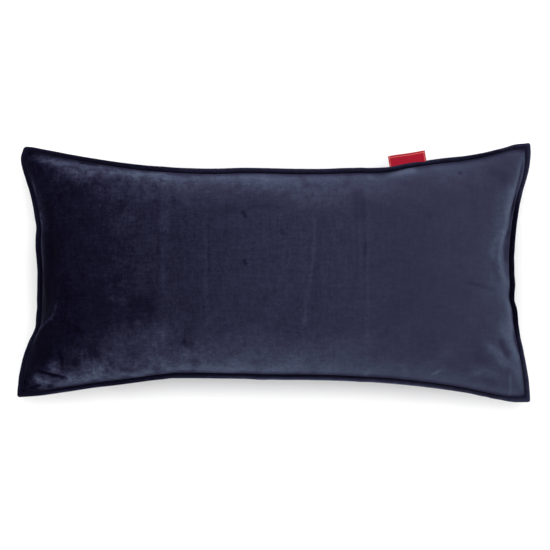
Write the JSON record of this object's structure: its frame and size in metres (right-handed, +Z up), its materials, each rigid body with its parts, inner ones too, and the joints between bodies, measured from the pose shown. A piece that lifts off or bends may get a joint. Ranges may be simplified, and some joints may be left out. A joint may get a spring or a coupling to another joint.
{
  "type": "memory foam pillow",
  "caption": "Long rectangular velvet pillow with a full crown, drawn-in sides, a narrow topstitched flange and a small bare ribbon label in one long edge.",
  "frame": {"origin": "middle of the pillow's box, on the surface it lies on", "axes": "+X along the long sides, +Y across towards the edge with the label, +Z up through the front panel"},
  "size_m": [0.7986, 0.4042, 0.1434],
  "materials": {
    "velvet": "dark navy cut-pile velvet, brushed darker at one end, with a pale sheen where it turns away",
    "ribbon": "crimson satin ribbon"
  },
  "bodies": {
    "root": {"cushion": "velvet", "edge_label": "ribbon"}
  },
  "joints": []
}
